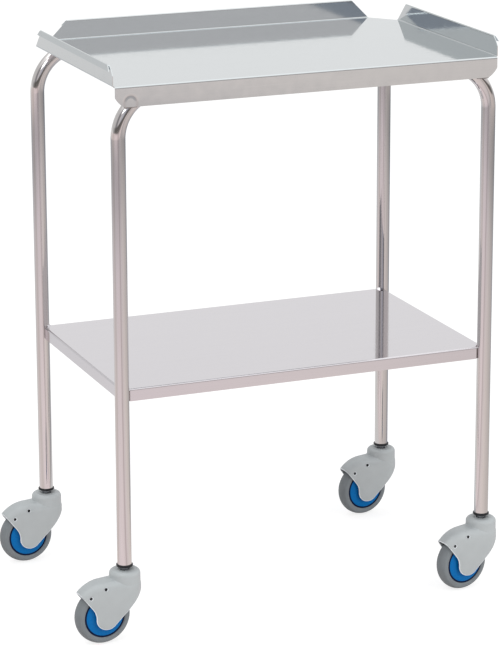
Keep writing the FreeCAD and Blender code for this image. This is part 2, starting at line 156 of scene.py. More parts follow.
def weld_pucker(tree, place, spot, radius):
    """An arch of 0 to 1 over a spot, where the heat of a weld behind the sheet has drawn it in."""
    moved = add(tree, "ShaderNodeVectorMath", {0: place, 1: spot}, operation="SUBTRACT")
    split = add(tree, "ShaderNodeSeparateXYZ", {"Vector": moved}).node.outputs
    above = add(tree, "ShaderNodeMath", {0: split["Z"], 1: 0.0}, operation="MAXIMUM")
    flat = add(tree, "ShaderNodeCombineXYZ", {"X": split["X"], "Y": above})
    away = add(tree, "ShaderNodeVectorMath", {0: flat}, "Value", operation="LENGTH")
    rise = add(tree, "ShaderNodeMapRange", {"Value": away, "From Min": radius * pucker_inner,
                                            "From Max": radius, "To Min": 0.0, "To Max": 1.0})
    fall = add(tree, "ShaderNodeMapRange", {"Value": away, "From Min": radius,
                                            "From Max": radius * pucker_outer,
                                            "To Min": 1.0, "To Max": 0.0})
    return add(tree, "ShaderNodeMath", {0: rise, 1: fall}, operation="MULTIPLY")


print("weld's mark:", round(2 * pucker_radius * pucker_outer / mm, 1), "mm wide")

# %% [markdown]
# ## Bright rolled stainless sheet
# Tray and shelf are cold-rolled stainless sheet with a bright finish: almost a mirror, with the
# faint lengthwise lines of the rolling mill and a slow waviness from folding and welding. Steel
# reflects about six tenths of the light. The lines are a noise drawn out along X, and the waves
# are a large, slow noise. Both are bump, because they are far too shallow to model. Real mill
# lines are some hundredths of a millimetre apart, and these are coarse enough to show.

# %% Sheet material
mill_line, mill_length = 1.6 * mm, 144 * mm      # size of a line, across and along
wave_size = 120 * mm
cloud_size = 14 * mm
mill_tones = 0.985, 1.01                         # darkest and lightest line, times the colour
sheet_dulls = 0.7, 1.4                           # least and most dull cloud, times the roughness


def sheet_metal(name, code, roughness, line_depth, wave_depth, spot=None):
    """Bright rolled sheet: mill lines, soft waves, a cloudy dullness, and a weld's mark at the spot."""
    material, tree, place = new_material(name)
    drawn = add(tree, "ShaderNodeMapping", {"Vector": place,
                                            "Scale": (1 / mill_length, 1 / mill_line, 1 / mill_line)})
    lines = add(tree, "ShaderNodeTexNoise", {"Vector": drawn, "Scale": 1.0, "Detail": 2.0})
    waves = add(tree, "ShaderNodeTexNoise", {"Vector": place, "Scale": 1 / wave_size, "Detail": 1.0})
    cloud = add(tree, "ShaderNodeTexNoise", {"Vector": place, "Scale": 1 / cloud_size, "Detail": 4.0})
    tone = add(tree, "ShaderNodeMapRange", {"Value": lines, **noise_span})
    dark, light = (linear(code, gain) for gain in mill_tones)
    colour = add(tree, "ShaderNodeMix", {0: tone, mix_a: dark, mix_b: light}, mixed, data_type="RGBA")
    dull = add(tree, "ShaderNodeMapRange", {"Value": cloud, **noise_span,
                                            "To Min": roughness * sheet_dulls[0],
                                            "To Max": roughness * sheet_dulls[1]})
    waved = add(tree, "ShaderNodeBump", {"Height": waves, "Distance": wave_depth})
    normal = add(tree, "ShaderNodeBump", {"Height": lines, "Distance": line_depth, "Normal": waved})
    if spot is not None:
        arch = weld_pucker(tree, place, spot, pucker_radius)
        normal = add(tree, "ShaderNodeBump", {"Height": arch, "Distance": pucker_depth, "Normal": normal})
        colour = add(tree, "ShaderNodeMix", {0: arch, mix_a: colour, mix_b: linear(pucker_tint)}, mixed,
                     data_type="RGBA")
    shader = add(tree, "ShaderNodeBsdfPrincipled", {"Base Color": colour, "Roughness": dull,
                                                    "Normal": normal, "Metallic": 1.0})
    add(tree, "ShaderNodeOutputMaterial", {"Surface": shader})
    return material


tray_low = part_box("top_tray")[0]
weld_spot = Vector((legs[0].x + apron_weld_inset, tray_low.y, tray_low.z + pucker_rise))
tray_metal = sheet_metal("tray_bright_rolled_stainless", "CCD1D3", 0.07, 0.0012 * mm, 0.15 * mm, weld_spot)
shelf_metal = sheet_metal("shelf_bright_rolled_stainless", "D3D0D4", 0.06, 0.001 * mm, 0.12 * mm)
print("sheet materials:", tray_metal.name, shelf_metal.name)

# %% [markdown]
# ## Polished stainless tube
# The frame tubes are drawn tube, polished along their length with a belt. That leaves fine
# lengthwise lines, and a reflection that stays sharp along the tube and blurs a little across it.
# Object coordinates would run the lines straight on through the bends, so the pattern follows
# the tube's own map. Belt lines are some hundredths of a millimetre wide, and these are drawn
# coarse enough to show.

# %% Tube material
belt_line, belt_length = 0.7 * mm, 84 * mm       # size of a line, across and along
smear_width, smear_length = 9 * mm, 54 * mm
belt_depth = 0.0008 * mm
belt_tones = 0.95, 1.04                          # darkest and lightest line, times the colour
smear_dulls = 0.75, 1.35                         # least and most dull smear, times the roughness


def tube_metal(name, code, roughness):
    """Belt-polished tube: its map runs round it and along it, so the lines follow the bends."""
    material, tree, place = new_material(name, "UV")
    drawn = add(tree, "ShaderNodeMapping", {"Vector": place,
                                            "Scale": (1 / belt_line, 1 / belt_length, 1 / belt_line)})
    lines = add(tree, "ShaderNodeTexNoise", {"Vector": drawn, "Scale": 1.0, "Detail": 2.0})
    wiped = add(tree, "ShaderNodeMapping", {"Vector": place,
                                            "Scale": (1 / smear_width, 1 / smear_length, 1 / smear_width)})
    smears = add(tree, "ShaderNodeTexNoise", {"Vector": wiped, "Scale": 1.0, "Detail": 3.0})
    tone = add(tree, "ShaderNodeMapRange", {"Value": lines, **noise_span})
    dark, light = (linear(code, gain) for gain in belt_tones)
    colour = add(tree, "ShaderNodeMix", {0: tone, mix_a: dark, mix_b: light}, mixed, data_type="RGBA")
    dull = add(tree, "ShaderNodeMapRange", {"Value": smears, **noise_span,
                                            "To Min": roughness * smear_dulls[0],
                                            "To Max": roughness * smear_dulls[1]})
    normal = add(tree, "ShaderNodeBump", {"Height": lines, "Distance": belt_depth})
    shader = add(tree, "ShaderNodeBsdfPrincipled", {"Base Color": colour, "Roughness": dull,
                                                    "Normal": normal, "Metallic": 1.0})
    add(tree, "ShaderNodeOutputMaterial", {"Surface": shader})
    return material


tube_finish = tube_metal("belt_polished_stainless_tube", "CFCCCB", 0.08)
print("tube material:", tube_finish.name)

# %% [markdown]
# ## Moulded plastics and rubber
# The hood is moulded polyamide in light grey with a fine spark-eroded texture, which makes it
# silky and not shiny. Its rounded rim gets a paler, smoother copy of that plastic: a painted
# highlight, the thin pale line of light along it. The thread guards are blue ABS, smoother than the
# hood. Wheel core and collar are dark nylon, and the core's deep navy is partly painted shade of the
# gap between guard and tyre. The tyre is grey thermoplastic rubber, the kind that leaves no marks.
# Plastic could be one plain colour, but then it looks like a drawing: a slow change of tone and a
# fine grain make it a moulding. Real spark-eroded grain is about a tenth of a millimetre, and
# this one is drawn coarser so that it shows.

# %% Plastic materials
flow_size = 18 * mm                              # size of the tones that the flow in the mould leaves
grain_dulls = 0.85, 1.15                         # least and most dull grain, times the roughness


def moulded(name, code, roughness, grain, grain_depth, ior=1.5, tone=0.04, shine=0.5):
    """A moulded plastic: fine grain, and slow changes of tone from the flow in the mould."""
    material, tree, place = new_material(name)
    flow = add(tree, "ShaderNodeTexNoise", {"Vector": place, "Scale": 1 / flow_size, "Detail": 2.0})
    fine = add(tree, "ShaderNodeTexNoise", {"Vector": place, "Scale": 1 / grain, "Detail": 1.0})
    blend = add(tree, "ShaderNodeMapRange", {"Value": flow, **noise_span})
    colour = add(tree, "ShaderNodeMix", {0: blend, mix_a: linear(code, 1 - tone),
                                         mix_b: linear(code, 1 + tone)}, mixed, data_type="RGBA")
    dull = add(tree, "ShaderNodeMapRange", {"Value": fine, **noise_span,
                                            "To Min": roughness * grain_dulls[0],
                                            "To Max": roughness * grain_dulls[1]})
    normal = add(tree, "ShaderNodeBump", {"Height": fine, "Distance": grain_depth})
    shader = add(tree, "ShaderNodeBsdfPrincipled", {"Base Color": colour, "Roughness": dull,
                                                    "Normal": normal, "IOR": ior,
                                                    "Specular IOR Level": shine})
    add(tree, "ShaderNodeOutputMaterial", {"Surface": shader})
    return material


hood_plastic = moulded("light_grey_textured_polyamide", "B8BEC0", 0.45, 0.8 * mm, 0.012 * mm,
                       ior=1.53, tone=0.02, shine=0.35)
# The rim's paler, smoother plastic is a painted highlight of the light along the rounded rim.
rim_painted_highlight_plastic = moulded("light_grey_polyamide_painted_highlight", "EEF5FA", 0.35, 0.8 * mm, 0.004 * mm,
                      ior=1.53, tone=0.02)
guard_plastic = moulded("blue_abs", "006CB3", 0.3, 2.5 * mm, 0.001 * mm, ior=1.54, tone=0.03, shine=0.12)
# The core's deep navy is partly painted shade, for the dark ring of the gap between guard and tyre.
gap_shade_core_plastic = moulded("dark_glass_filled_nylon_and_painted_gap_shade", "06193A", 0.4, 0.7 * mm, 0.01 * mm, ior=1.53, shine=0.1)
collar_plastic = moulded("black_nylon", "171A1E", 0.35, 0.7 * mm, 0.01 * mm, ior=1.53, shine=0.3)
tyre_rubber = moulded("grey_thermoplastic_rubber", "80868A", 0.6, 0.9 * mm, 0.02 * mm, tone=0.05, shine=0.3)
sleeve_rubber = moulded("black_rubber", "26282A", 0.7, 1.2 * mm, 0.05 * mm)
print("plastics:", hood_plastic.name, guard_plastic.name, tyre_rubber.name)

# %% [markdown]
# ## Plated, polished and ground steel
# The fork, the nut and the axle are zinc-plated steel, a soft bluish white with a cloudy look. The
# stem is polished steel and the bearings are ground steel. A weld is left as it cooled, browned by
# its heat. One function makes them all, from a noise that dulls and darkens the steel in clouds of
# the finish's own size.

# %% Plated steel
plate_relief = 0.01 * mm
plate_tones = 0.9, 1.06                          # darkest and lightest cloud, times the colour
plate_dulls = 1.3, 0.8                           # dullness of those clouds, times the roughness


def plated(name, code, roughness, cloud_size):
    """Plated or ground steel with clouds in its dullness."""
    material, tree, place = new_material(name)
    cloud = add(tree, "ShaderNodeTexNoise", {"Vector": place, "Scale": 1 / cloud_size, "Detail": 4.0})
    tone = add(tree, "ShaderNodeMapRange", {"Value": cloud, **noise_span})
    dark, light = (linear(code, gain) for gain in plate_tones)
    colour = add(tree, "ShaderNodeMix", {0: tone, mix_a: dark, mix_b: light}, mixed, data_type="RGBA")
    dull = add(tree, "ShaderNodeMapRange", {"Value": cloud, **noise_span,
                                            "To Min": roughness * plate_dulls[0],
                                            "To Max": roughness * plate_dulls[1]})
    normal = add(tree, "ShaderNodeBump", {"Height": cloud, "Distance": plate_relief})
    shader = add(tree, "ShaderNodeBsdfPrincipled", {"Base Color": colour, "Roughness": dull,
                                                    "Normal": normal, "Metallic": 1.0})
    add(tree, "ShaderNodeOutputMaterial", {"Surface": shader})
    return material


zinc = plated("zinc_plated_steel", "B9BCC0", 0.32, 6 * mm)
# Heat-tinted weld for the shelf's seams, and painted shade on the seams behind the apron.
weld = plated("heat_tinted_weld_and_painted_shade", "8C8684", 0.35, 2 * mm)
neck = plated("polished_stem_steel", "A0A2A6", 0.25, 5 * mm)
ground = plated("ground_bearing_steel", "C6C8CA", 0.18, 3 * mm)
print("steels:", zinc.name, weld.name, neck.name, ground.name)

# %% [markdown]
# ## Helpers for new pieces
# A new piece is shaped as a bmesh, with its place in its vertices, and then handed over: it gets
# its finish, rides on a body of the model and may stand in for plainer nodes of it. Round pieces
# are turned from half a section, as on a lathe: the section is a few points of radius and height,
# spun right round an axis.

# %% Helpers for new pieces


def hand_over(bm, name, finish, body, stands_for=()):
    """Makes the bmesh an object that rides on a body and stands in for the named nodes."""
    mesh = bpy.data.meshes.new(name)
    bm.to_mesh(mesh)
    bm.free()
    mesh.materials.append(finish)
    made = bpy.data.objects.new(name, mesh)
    bpy.context.scene.collection.objects.link(made)
    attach(made, body)
    if stands_for:
        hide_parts(*stands_for)
    return made


def shade_smooth(bm, sharp_angle=40.0):
    """Smooth faces, with edges left crisp where the surface turns by more than the angle."""
    for face in bm.faces:
        face.smooth = True
    for edge in bm.edges:
        edge.smooth = len(edge.link_faces) == 2 and edge.calc_face_angle() < math.radians(sharp_angle)


def turn_section(bm, section, steps, place):
    """Spins a closed section of radius and height about Z, then moves it into place."""
    verts = [bm.verts.new((radius, 0, height)) for radius, height in section]
    edges = [bm.edges.new(pair) for pair in zip(verts, verts[1:] + verts[:1])]
    bmesh.ops.spin(bm, geom=verts + edges, cent=(0, 0, 0), axis=(0, 0, 1), angle=2 * math.pi,
                   steps=steps, use_merge=True, use_duplicate=False)
    bmesh.ops.recalc_face_normals(bm, faces=bm.faces)
    bmesh.ops.transform(bm, matrix=place, verts=bm.verts)


def soften(bm, width, segments=3, angle=35.0, clamp=True):
    """Rounds the edges at which the surface turns by more than the angle. Gives back the new faces."""
    sharp = [edge for edge in bm.edges
             if len(edge.link_faces) == 2 and edge.calc_face_angle() > math.radians(angle)]
    return bmesh.ops.bevel(bm, geom=sharp, offset=width, offset_type="OFFSET", segments=segments,
                           profile=0.5, affect="EDGES", material=-1, clamp_overlap=clamp)["faces"]


trial = bmesh.new()
turn_section(trial, [(1, 0), (2, 0), (2, 1)], 12, Matrix())
print("three points turned in 12 steps make", len(trial.faces), "faces")
trial.free()

# %% [markdown]
# ## Bending a tube
# Each frame is one drawn tube: leg, bend, top run, bend, leg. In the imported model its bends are
# short flat facets, which a polished surface would show at once, so here the tube is drawn again
# from the same sizes. A curve with a round bevel could do it. Here a ring of edges is pushed along
# and swung round, as a tube bender does, because every point then keeps its place round the ring.

# %% Bending steps
bend_radius = 65 * mm
foot_drop = 2.0 * mm         # how far the tube's foot sinks into a recess in its collar
ring_points = 64
bend_steps = 40


def push(bm, edges, move):
    """Pulls a ring of edges along, and gives back the new ring."""
    made = bmesh.ops.extrude_edge_only(bm, edges=edges)["geom"]
    verts = [item for item in made if isinstance(item, bmesh.types.BMVert)]
    bmesh.ops.translate(bm, verts=verts, vec=move)
    return [item for item in made if isinstance(item, bmesh.types.BMEdge) and set(item.verts) <= set(verts)]


def swing(bm, edges, centre):
    """Swings a ring of edges a quarter turn about the Y axis through the centre."""
    verts = list({vert for edge in edges for vert in edge.verts})
    made = bmesh.ops.spin(bm, geom=verts + edges, cent=centre, axis=(0, 1, 0), angle=math.pi / 2,
                          steps=bend_steps, use_merge=False, use_duplicate=False)["geom_last"]
    return [item for item in made if isinstance(item, bmesh.types.BMEdge)]


print("a bend has", ring_points * bend_steps, "faces")

# %% [markdown]
# ## Frame tubes
# The ring is pushed up the leg, swung round the bend and pushed on, down to the other foot, and
# the feet are closed. The place round the ring and the length along the tube are its map, both in
# metres, so the polishing lines keep their size and follow the bends.

# %% Frame tubes


def length_along(point, left, right, low, high):
    """How far along the tube a point lies, from the foot of the left leg."""
    leg, quarter = high - bend_radius - low, bend_radius * math.pi / 2
    near, rise = min(point.x - left, right - point.x), point.z - (high - bend_radius)
    if rise <= 0:
        along = point.z - low
    elif near < bend_radius:
        along = leg + bend_radius * math.atan2(rise, bend_radius - near)
    else:
        along = leg + quarter + near - bend_radius
    whole = 2 * (leg + quarter - bend_radius) + right - left
    return along if point.x < (left + right) / 2 else whole - along


def frame_tube(node):
    """Draws the tube again inside the box of its node."""
    low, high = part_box(node)
    radius = (high.y - low.y) / 2
    low.z -= foot_drop
    left, right, top = low.x + radius, high.x - radius, high.z - radius
    middle_y = (low.y + high.y) / 2
    bm = bmesh.new()
    around = bm.verts.layers.float.new("around")
    ring = bmesh.ops.create_circle(bm, cap_ends=False, radius=radius, segments=ring_points)["verts"]
    for vert in ring:
        vert[around] = radius * (math.atan2(-vert.co.x, vert.co.y) % (2 * math.pi))
    bmesh.ops.translate(bm, verts=ring, vec=(left, middle_y, low.z))
    edges = push(bm, list(bm.edges), (0, 0, top - bend_radius - low.z))
    edges = swing(bm, edges, (left + bend_radius, middle_y, top - bend_radius))
    edges = push(bm, edges, (right - left - 2 * bend_radius, 0, 0))
    edges = swing(bm, edges, (right - bend_radius, middle_y, top - bend_radius))
    push(bm, edges, (0, 0, low.z - top + bend_radius))
    bmesh.ops.holes_fill(bm, edges=bm.edges, sides=ring_points)
    bmesh.ops.recalc_face_normals(bm, faces=bm.faces)
    tube_map = bm.loops.layers.uv.new("along_tube")
    for face in bm.faces:
        first = min(loop.vert[around] for loop in face.loops)
        for loop in face.loops:
            u = loop.vert[around]
            if u - first > math.pi * radius:
                u -= 2 * math.pi * radius
            loop[tube_map].uv = (u, length_along(loop.vert.co, left, right, low.z, top))
    shade_smooth(bm)
    return hand_over(bm, node.replace("frame", "drawn"), tube_finish, "table", [node])


for node in ("front_frame_tube", "rear_frame_tube"):
    drawn = frame_tube(node)
    print(drawn.name, len(drawn.data.polygons), "faces")

# %% [markdown]
# ## Wheel sections
# A wheel has a grey rubber tyre with a rounded tread, moulded on a dark nylon core, and a blue
# thread guard let into each side, which keeps hair and threads out of the bearing. The core's rim
# shows as a ring between guard and tyre, and its deep navy is partly painted shade of that gap.
# Cylinders with bevels could stand for them, but half a section holds every step and groove in one
# line of points: how far each lies from the axle, and how far from the wheel's middle.

# %% Wheel sections
wheel_steps = 96
tread_points = 16


def wheel_place(corner):
    """Turns the Z axis into the wheel's axle."""
    joint = joints[corner + "_roll"]
    turned = Vector(joint["axis"]).to_track_quat("Z", "Y").to_matrix().to_4x4()
    return Matrix.Translation(joint["pos_m"]) @ turned


def tyre_section():
    """Straight cheeks that swell a little, and a tread that is an arc."""
    seat, cheek, shoulder, tread = 31.35 * mm, 34.1 * mm, 38.3 * mm, 42.5 * mm
    foot, bulge = 10.7 * mm, 11.5 * mm
    rise = tread - shoulder
    arc = (foot ** 2 + rise ** 2) / (2 * rise)
    half = math.asin(foot / arc)
    steps = [half * (2 * i / tread_points - 1) for i in range(tread_points + 1)]
    tread_line = [(tread - arc + arc * math.cos(a), arc * math.sin(a)) for a in steps]
    return [(seat, -foot), (cheek, -bulge)] + tread_line + [(cheek, bulge), (seat, foot)]


def core_section():
    """Rim, web and hub of the dark core, with a groove for each guard."""
    hub, bore, rim, ledge = 14 * mm, 11.1 * mm, 31.3 * mm, 28.9 * mm
    groove = ledge - 2 * mm
    web, side, hub_side = 2.5 * mm, 10.7 * mm, 8.7 * mm
    half = [(bore, hub_side), (hub, hub_side), (hub, web), (groove, web),
            (groove, hub_side), (ledge, hub_side), (ledge, side), (rim, side)]
    return half + [(radius, -height) for radius, height in reversed(half)]


def guard_section(side):
    """A thin disc with a shallow dish and a rolled edge."""
    inner, outer, low, top = 11.3 * mm, 28.8 * mm, 8.75 * mm, 10.65 * mm
    knee, dish = 14 * mm, 0.5 * mm
    half = [(inner, low), (outer, low), (outer, top), (knee, top + dish), (inner, top + dish)]
    return [(radius, side * height) for radius, height in half]


print("points in the sections:", len(tyre_section()), len(core_section()), len(guard_section(1)))

# %% [markdown]
# ## Wheels
# The sections are turned about the axle, whose place and direction come from the roll joint. The
# edges get small roundings, because the light on them is what tells rubber from steel. The two
# guards of a wheel are one piece, made of two discs that are rounded one by one.

# %% Wheels
tyre_rounding, tyre_angle = 0.9 * mm, 25         # edges that turn by more degrees are rounded
core_rounding = 0.25 * mm
guard_rounding, guard_angle = 0.5 * mm, 50

for corner in corners:
    place = wheel_place(corner)
    body = corner + "_wheel"
    bm = bmesh.new()
    turn_section(bm, tyre_section(), wheel_steps, place)
    soften(bm, tyre_rounding, angle=tyre_angle)
    shade_smooth(bm)
    hand_over(bm, corner + "_rounded_tyre", tyre_rubber, body, [corner + "_tyre"])
    bm = bmesh.new()
    turn_section(bm, core_section(), wheel_steps, place)
    soften(bm, core_rounding, segments=2)
    shade_smooth(bm)
    hand_over(bm, corner + "_turned_core", gap_shade_core_plastic, body, [corner + "_wheel_core"])
    bm = bmesh.new()
    for side in (-1, 1):
        disc = bmesh.new()
        turn_section(disc, guard_section(side), wheel_steps, place)
        soften(disc, guard_rounding, angle=guard_angle)
        shade_smooth(disc)
        mesh = bpy.data.meshes.new("disc")
        disc.to_mesh(mesh)
        disc.free()
        bm.from_mesh(mesh)
        bpy.data.meshes.remove(mesh)
    hand_over(bm, corner + "_turned_guards", guard_plastic, body,
              [corner + "_thread_guards"])
print("wheels:", len(corners))

# %% [markdown]
# ## Collars
# The black nylon collar closes the foot of each tube. It is turned with well rounded edges, for
# the thin light line that rims black plastic in a white room.

# %% Collars
collar_bore, collar_spigot = 5.05 * mm, 9.1 * mm
collar_rounding = 1.2 * mm
collar_steps = 64
tube_low, tube_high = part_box("front_frame_tube")

for corner in corners:
    low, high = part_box(corner + "_collar")
    foot = tube_low.z - foot_drop
    edge = (high.x - low.x) / 2
    section = [(collar_bore, low.z), (edge, low.z), (edge, foot), (collar_spigot, foot),
               (collar_spigot, high.z), (collar_bore, high.z)]
    stem_line = Matrix.Translation(((low.x + high.x) / 2, (low.y + high.y) / 2, 0))
    bm = bmesh.new()
    turn_section(bm, section, collar_steps, stem_line)
    soften(bm, collar_rounding, segments=4)
    shade_smooth(bm)
    hand_over(bm, corner + "_rounded_collar", collar_plastic, "table",
              [corner + "_collar"])
print("collars:", len(corners))

# %% [markdown]
# ## Hoods
# The hood is the shape that takes the most skill, and its form comes from the imported model. That
# mesh is loose triangles with knife edges, so a copy is merged, and its rims are rounded: a
# moulding never has a sharp rim, and the light that runs along it is what shows the wall. The
# rounding gets a paler finish, a painted highlight, and the rest of the hood the textured one.

# %% Hoods
rim_rounding, rim_angle = 1.0 * mm, 50
merge_gap = 0.001 * mm
flat_angle = 0.5                                 # degrees, up to which two facets count as one


def rounded_copy(node, width, angle):
    """A merged copy of a node's mesh. Its sharp edges are rounded, and get the second finish, a painted
    highlight.
    """
    bm = bmesh.new()
    bm.from_mesh(nodes[node].data)
    bmesh.ops.remove_doubles(bm, verts=bm.verts, dist=merge_gap)
    bmesh.ops.dissolve_limit(bm, angle_limit=math.radians(flat_angle), verts=bm.verts, edges=bm.edges)
    for face in soften(bm, width, segments=2, angle=angle, clamp=False):
        face.material_index = 1
    bmesh.ops.triangulate(bm, faces=[face for face in bm.faces if len(face.verts) > 4])
    shade_smooth(bm)
    return bm


for corner in corners:
    node = corner + "_hood"
    bm = rounded_copy(node, rim_rounding, rim_angle)
    hood = hand_over(bm, corner + "_soft_edged_hood", hood_plastic, corner + "_castor",
                     [node])
    hood.data.materials.append(rim_painted_highlight_plastic)
    print(hood.name, len(hood.data.polygons), "faces")

# %% [markdown]
# ## Black pins, painted shade in the holes
# Two black nylon pins a side are painted shade for the dark inside of the hood's small holes. Each
# is a shank with a slightly wider head, which lies just under the surface in one of the holes, so
# all that shows of it is a dark dot in a bright rim.

# %% Black pins, painted shade in the holes
pin_radius = 1.95 * mm
pin_inside = 12.6 * mm                           # where a shank starts, from the wheel's middle
pin_sides = 20
head_radius = 2.45 * mm
head_height = 0.4 * mm
pin_places = [(0.6 * mm, 45.0 * mm, 18.6 * mm),  # behind the axle, above it, out to the head's top
              (23.0 * mm, 33.5 * mm, 15.75 * mm)]

for corner in corners:
    stem = Vector(joints[corner + "_swivel"]["pos_m"])
    axle = Vector(joints[corner + "_roll"]["pos_m"])
    back = Vector((axle.x - stem.x, axle.y - stem.y, 0)).normalized()
    across = wheel_place(corner)
    bm = bmesh.new()
    for behind, rise, head in pin_places:
        place = Matrix.Translation(back * behind + Vector((0, 0, rise))) @ across
        shank = head - head_height
        for side in (-1, 1):
            for radius, height, top in ((pin_radius, shank - pin_inside, shank),
                                        (head_radius, head_height, head)):
                pin = bmesh.ops.create_cone(bm, cap_ends=True, segments=pin_sides, radius1=radius,
                                            radius2=radius, depth=height)["verts"]
                out = Matrix.Translation((0, 0, side * (top - height / 2)))
                bmesh.ops.transform(bm, verts=pin, matrix=place @ out)
    shade_smooth(bm)
    hand_over(bm, corner + "_painted_shade_pins", collar_plastic, corner + "_castor")
print("painted shade pins:", 2 * len(pin_places) * len(corners))

# %% [markdown]
# ## Seams of weld, and painted shade behind the apron
# The shelf's flanges stop short of the tubes, and a thin seam of weld closes each gap. Two more
# seams behind the apron hold the tray to the front tube, and their darkness is painted shade of the
# gap under the apron's edge. A seam could be a row of scales, but at this size it reads as a round
# bar. Welding leaves the steel darker there than the polished sheet beside it.

# %% Seams
seam_sides = 12
seam_radius = 1.3 * mm
seam_inset = 1.0 * mm                            # from the flange's outer face to the seam's middle
seam_margin = 6 * mm                             # how much shorter a seam is than the shelf is deep
seam_drop = 2 * mm                               # of its middle below the middle of the shelf's edge
seam_stand = 0.6                                 # how far it stands off the tube, times its radius
apron_shade_seam_radius, apron_shade_seam_length = 0.9 * mm, 19 * mm
behind_apron, below_apron = 1.6 * mm, 0.3 * mm   # from the apron's front and from its lower edge

shelf_low, shelf_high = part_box("lower_shelf")
tube_reach = (tube_high.y - tube_low.y) / 2
bm = bmesh.new()
for leg in legs:
    into = Vector((math.copysign(1, middle.x - leg.x), math.copysign(1, middle.y - leg.y), 0))
    along_x, along_y = Vector((into.x, 0, 0)), Vector((0, into.y, 0))
    for along, beside in ((along_x, along_y), (along_y, along_x)):
        bar = bmesh.ops.create_cone(bm, cap_ends=True, segments=seam_sides, radius1=seam_radius,
                                    radius2=seam_radius,
                                    depth=shelf_high.z - shelf_low.z - seam_margin)["verts"]
        spot = leg + along * (tube_reach + seam_radius * seam_stand) + beside * seam_inset
        spot.z = (shelf_low.z + shelf_high.z) / 2 - seam_drop
        bmesh.ops.translate(bm, verts=bar, vec=spot)
shade_smooth(bm)
hand_over(bm, "shelf_corner_seams", weld, "table")
# The seams behind the apron: dark steel, painted shade of the gap under its edge.
bm = bmesh.new()
lying = Matrix.Rotation(math.pi / 2, 4, "Y")
for leg in legs[:2]:                             # the two front ones
    bar = bmesh.ops.create_cone(bm, cap_ends=True, segments=seam_sides, radius1=apron_shade_seam_radius,
                                radius2=apron_shade_seam_radius, depth=apron_shade_seam_length)["verts"]
    toward = math.copysign(1, middle.x - leg.x)
    spot = Vector((leg.x + toward * apron_weld_inset, tray_low.y + behind_apron, tray_low.z - below_apron))
    bmesh.ops.transform(bm, verts=bar, matrix=Matrix.Translation(spot) @ lying)
shade_smooth(bm)
hand_over(bm, "apron_seams_painted_shade", weld, "table")
print("seams:", 2 * len(legs) + 2)

# %% [markdown]
# ## Which node gets which finish
# A node's own mesh stays as it is, and only its material slot is filled.

# %% Give the nodes their finishes
finishes = {
    "top_tray": tray_metal, "lower_shelf": shelf_metal, "front_frame_tube": tube_finish,
    "rear_frame_tube": tube_finish, "collar": collar_plastic, "expander": sleeve_rubber,
    "stem": neck, "stem_nut": zinc, "fork": zinc, "hood": hood_plastic, "swivel_bearings": ground,
    "axle": zinc, "wheel_core": gap_shade_core_plastic, "tyre": tyre_rubber, "thread_guards": guard_plastic,
    "wheel_bearings": ground,
}
for name, node in nodes.items():
    kind = name
    for corner in corners:
        kind = kind.replace(corner + "_", "")
    node.data.materials.clear()
    node.data.materials.append(finishes[kind])
print("nodes with a finish:", len(nodes))

# %% [markdown]
# ## What polished steel mirrors
# Polished steel has no colour of its own: all that it shows is the room. A studio's white sweep
# isn't even. It is whitest round the object, greyer where the paper ends, warmer on one side than
# on the other, and dark things stand low beside it. A whole room could be modelled, but a few
# bands of colour by direction and rings by distance are enough. Only reflections see them, so
# they leave the light on the table alone.

# %% Bands and rings
# What is mirrored of the floor, by direction: degrees from straight in front, to the right.
floor_bands = [
    (-180, "E8E7E7"), (-150, "E6E5E5"), (-128, "F0E8E8"), (-108, "EADFDD"), (-92, "E2D8D6"),
    (-76, "F8ECEE"), (-40, "FBEDEF"), (-29, "F1E4E5"), (-21, "CDBFC1"), (-12, "EDE2E2"),
    (4, "F2E7E6"), (24, "F0E6E2"), (44, "E4DBD8"), (64, "DAD3D0"), (92, "CEC8C6"),
    (104, "ABABB2"), (116, "96989F"), (130, "CCCCD0"), (150, "EDEDEE"), (180, "E8E7E7"),
]

# How light the mirrored floor is by its distance in metres: a grey ring where the paper ends.
floor_rings = [
    (0.0, "FFFFFF"), (0.6, "FFFFFF"), (1.2, "FBFBFB"), (2.1, "F2F3F5"), (2.5, "ECEEF1"),
    (2.9, "DADDE0"), (3.3, "C8CCCF"), (3.8, "C5C9CC"), (4.2, "F8F6F5"), (5.0, "F8F6F5"),
]

# What stands low round the front of the studio, by direction: dark stands against white.
wall_bands = [
    (-180, "F6F1F1"), (-98, "F6F1F1"), (-80, "98979C"), (-62, "A4A3A8"), (-46, "F6F1F1"),
    (-34, "D8D9E3"), (-18, "D8D9E3"), (-12, "868488"), (-6, "868488"), (2, "F6F1F1"),
    (180, "F6F1F1"),
]


def fill_ramp(ramp, stops):
    """Sets a colour ramp to the stops, each a place from 0 to 1 and a colour."""
    for place, code in stops[1:-1]:
        ramp.elements.new(place).color = linear(code)
    ramp.elements[0].color = linear(stops[0][1])
    ramp.elements[-1].color = linear(stops[-1][1])


def by_direction(tree, way, bands):
    """The colour of the band that a place or a direction lies in."""
    split = add(tree, "ShaderNodeSeparateXYZ", {"Vector": way}).node.outputs
    forward = add(tree, "ShaderNodeMath", {0: split["Y"], 1: -1.0}, operation="MULTIPLY")
    angle = add(tree, "ShaderNodeMath", {0: split["X"], 1: forward}, operation="ARCTAN2")
    share = add(tree, "ShaderNodeMapRange", {"Value": angle, "From Min": -math.pi, "From Max": math.pi})
    colour = add(tree, "ShaderNodeValToRGB", {"Fac": share})
    fill_ramp(colour.node.color_ramp, [((degrees + 180) / 360, code) for degrees, code in bands])
    return colour


print("bands:", len(floor_bands), "and", len(wall_bands), "rings:", len(floor_rings))

# %% [markdown]
# ## Floor
# The floor is a plain white sheet. A strength of one is white to the camera, so most of it is a
# glow, and a part of it is matt, which keeps the table's soft shadow. To the light that bounces
# off it, it is a pale matt floor. In reflections it has the bands and rings, white far behind the
# table and a dim room far in front.

